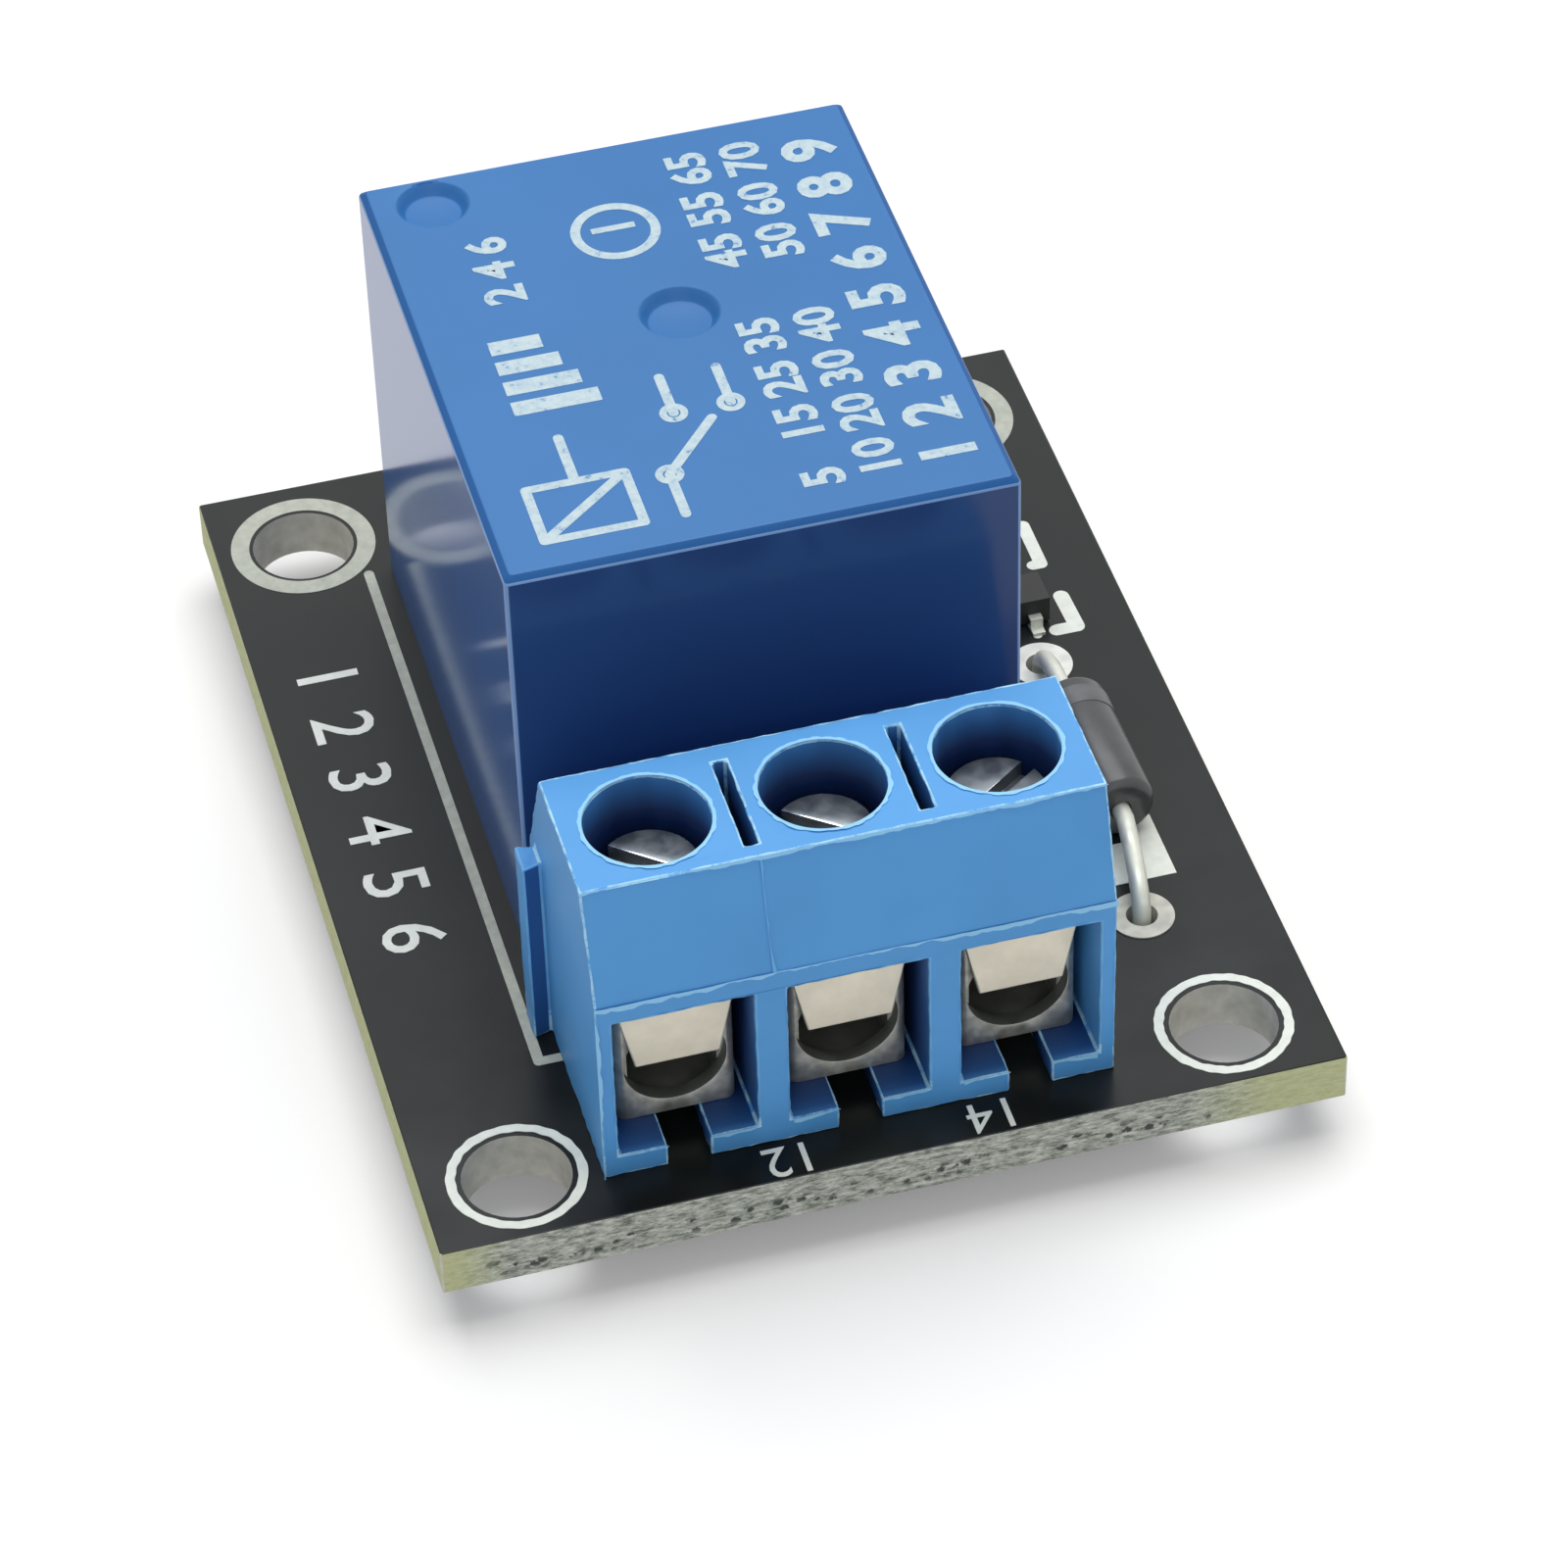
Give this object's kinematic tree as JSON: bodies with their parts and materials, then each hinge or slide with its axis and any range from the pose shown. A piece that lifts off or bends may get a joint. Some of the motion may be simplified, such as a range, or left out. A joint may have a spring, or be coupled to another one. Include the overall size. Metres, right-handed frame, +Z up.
{
  "type": "relay module board",
  "caption": "Small black circuit board with a blue sealed relay, a blue screw terminal with slotted clamps, a diode and a right-angle pin header.",
  "frame": {"origin": "centre of the four mounting holes, on the underside of the board", "axes": "+X to the right along the front edge, +Y from the screw terminal to the pin header, +Z up out of the board"},
  "size_m": [0.027, 0.0405, 0.0181],
  "materials": {
    "mask_board": "black solder mask over glass laminate",
    "tinned_copper": "tinned pad",
    "solder": "dull bright solder",
    "relay_case": "moulded blue",
    "relay_floor": "moulded blue",
    "magnet_steel": "zinc-plated steel",
    "bobbin_plastic": "moulded natural",
    "copper_wire": "enamelled copper",
    "contact_brass": "rolled strip",
    "contact_silver": "silver alloy",
    "terminal_blue": "moulded sky blue",
    "cage_plate": "nickel-plated sheet",
    "guard_plate": "tinned sheet",
    "screw_zinc": "zinc-plated",
    "diode_epoxy": "moulded epoxy",
    "lead_tin": "tinned wire",
    "header_plastic": "moulded black",
    "pin_gold": "gold-flashed pin",
    "chip_epoxy": "moulded epoxy",
    "chip_ceramic": "coated ceramic",
    "cap_tin": "tinned end cap",
    "led_lens": "clear resin"
  },
  "bodies": {
    "module": {"circuit_board": "mask_board", "copper_pads": "tinned_copper", "solder_joints": "solder", "relay_cover": "relay_case", "relay_base": "relay_floor", "relay_yoke": "magnet_steel", "relay_core": "magnet_steel", "relay_bobbin": "bobbin_plastic", "relay_winding": "copper_wire", "relay_coil_pins": "lead_tin", "relay_open_terminal": "contact_brass", "relay_open_contact": "contact_silver", "relay_closed_terminal": "contact_brass", "relay_closed_contact": "contact_silver", "relay_common_terminal": "contact_brass", "terminal_housing": "terminal_blue", "diode_body": "diode_epoxy", "diode_lead_front": "lead_tin", "diode_lead_back": "lead_tin", "header_block": "header_plastic", "header_pins": "pin_gold", "transistor_body": "chip_epoxy", "transistor_leads": "lead_tin", "base_resistor": "chip_ceramic", "base_resistor_caps": "cap_tin", "led_resistor": "chip_ceramic", "led_resistor_caps": "cap_tin", "indicator_led": "led_lens", "indicator_led_caps": "cap_tin", "clamp_cage_left": "cage_plate", "clamp_cage_middle": "cage_plate", "clamp_cage_right": "cage_plate"},
    "armature": {"relay_armature": "magnet_steel", "relay_contact_leaf": "contact_brass", "relay_moving_contact": "contact_silver"},
    "guard_left": {"wire_guard_left": "guard_plate"},
    "screw_left": {"clamp_screw_left": "screw_zinc"},
    "guard_middle": {"wire_guard_middle": "guard_plate"},
    "screw_middle": {"clamp_screw_middle": "screw_zinc"},
    "guard_right": {"wire_guard_right": "guard_plate"},
    "screw_right": {"clamp_screw_right": "screw_zinc"}
  },
  "joints": [
    {"name": "guard_slide_left", "type": "slide", "parent": "module", "child": "guard_left", "axis": [0, 0, 1], "range_m": [-0.00135, 0]},
    {"name": "screw_turn_left", "type": "hinge", "parent": "guard_left", "child": "screw_left", "pos_m": [-0.00569, -0.01178, 0.0102], "axis": [0, 0, 1], "range_deg": [-1080, 0]},
    {"name": "guard_slide_middle", "type": "slide", "parent": "module", "child": "guard_middle", "axis": [0, 0, 1], "range_m": [-0.00135, 0]},
    {"name": "screw_turn_middle", "type": "hinge", "parent": "guard_middle", "child": "screw_middle", "pos_m": [-0.00061, -0.01178, 0.0102], "axis": [0, 0, 1], "range_deg": [-1080, 0]},
    {"name": "guard_slide_right", "type": "slide", "parent": "module", "child": "guard_right", "axis": [0, 0, 1], "range_m": [-0.00135, 0]},
    {"name": "screw_turn_right", "type": "hinge", "parent": "guard_right", "child": "screw_right", "pos_m": [0.00447, -0.01178, 0.0102], "axis": [0, 0, 1], "range_deg": [-1080, 0]},
    {"name": "armature_pull", "type": "hinge", "parent": "module", "child": "armature", "pos_m": [-0.0006, 0.00995, 0.0125], "axis": [1, 0, 0], "range_deg": [0, 4.5], "stiffness_Nm_per_rad": 0.01, "springref_deg": -11.46}
  ],
  "couplings": [
    {"joint": "screw_turn_left", "follows": "guard_slide_left", "rad_per_m": 13962},
    {"joint": "screw_turn_middle", "follows": "guard_slide_middle", "rad_per_m": 13962},
    {"joint": "screw_turn_right", "follows": "guard_slide_right", "rad_per_m": 13962}
  ]
}
